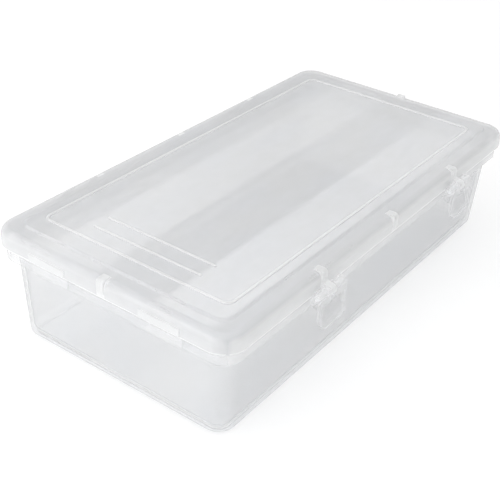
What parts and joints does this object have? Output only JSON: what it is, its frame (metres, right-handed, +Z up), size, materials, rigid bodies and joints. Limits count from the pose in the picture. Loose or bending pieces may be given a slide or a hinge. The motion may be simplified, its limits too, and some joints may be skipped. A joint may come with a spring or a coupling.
{
  "type": "fishing tackle box",
  "caption": "Clear plastic tackle box: a tapered open tub, a skirted lid hinged along the back, and two snap latches on the front of the lid.",
  "frame": {"origin": "on the floor at the middle of the closed box", "axes": "+X along the length, -Y out of the front where the latches are, +Z up"},
  "size_m": [0.271, 0.157, 0.0636],
  "materials": {
    "tub_plastic": "clear, slightly milky, glossy",
    "lid_plastic": "clear, slightly milky, glossy",
    "latch_plastic": "clear, slightly milky, glossy",
    "pin_plastic": "natural, satin"
  },
  "bodies": {
    "tub": {"tub": "tub_plastic", "hinge_pin_left": "pin_plastic", "hinge_pin_right": "pin_plastic"},
    "lid": {"lid": "lid_plastic", "latch_pin_left": "pin_plastic", "latch_pin_right": "pin_plastic"},
    "latch_left": {"latch_left": "latch_plastic"},
    "latch_right": {"latch_right": "latch_plastic"}
  },
  "joints": [
    {"name": "lid_hinge", "type": "hinge", "parent": "tub", "child": "lid", "pos_m": [0, 0.0753, 0.0485], "axis": [-1, 0, 0], "range_deg": [0, 180]},
    {"name": "latch_left_hinge", "type": "hinge", "parent": "lid", "child": "latch_left", "pos_m": [-0.065, -0.0743, 0.0535], "axis": [-1, 0, 0], "range_deg": [0, 85]},
    {"name": "latch_right_hinge", "type": "hinge", "parent": "lid", "child": "latch_right", "pos_m": [0.065, -0.0743, 0.0535], "axis": [-1, 0, 0], "range_deg": [0, 85]}
  ]
}
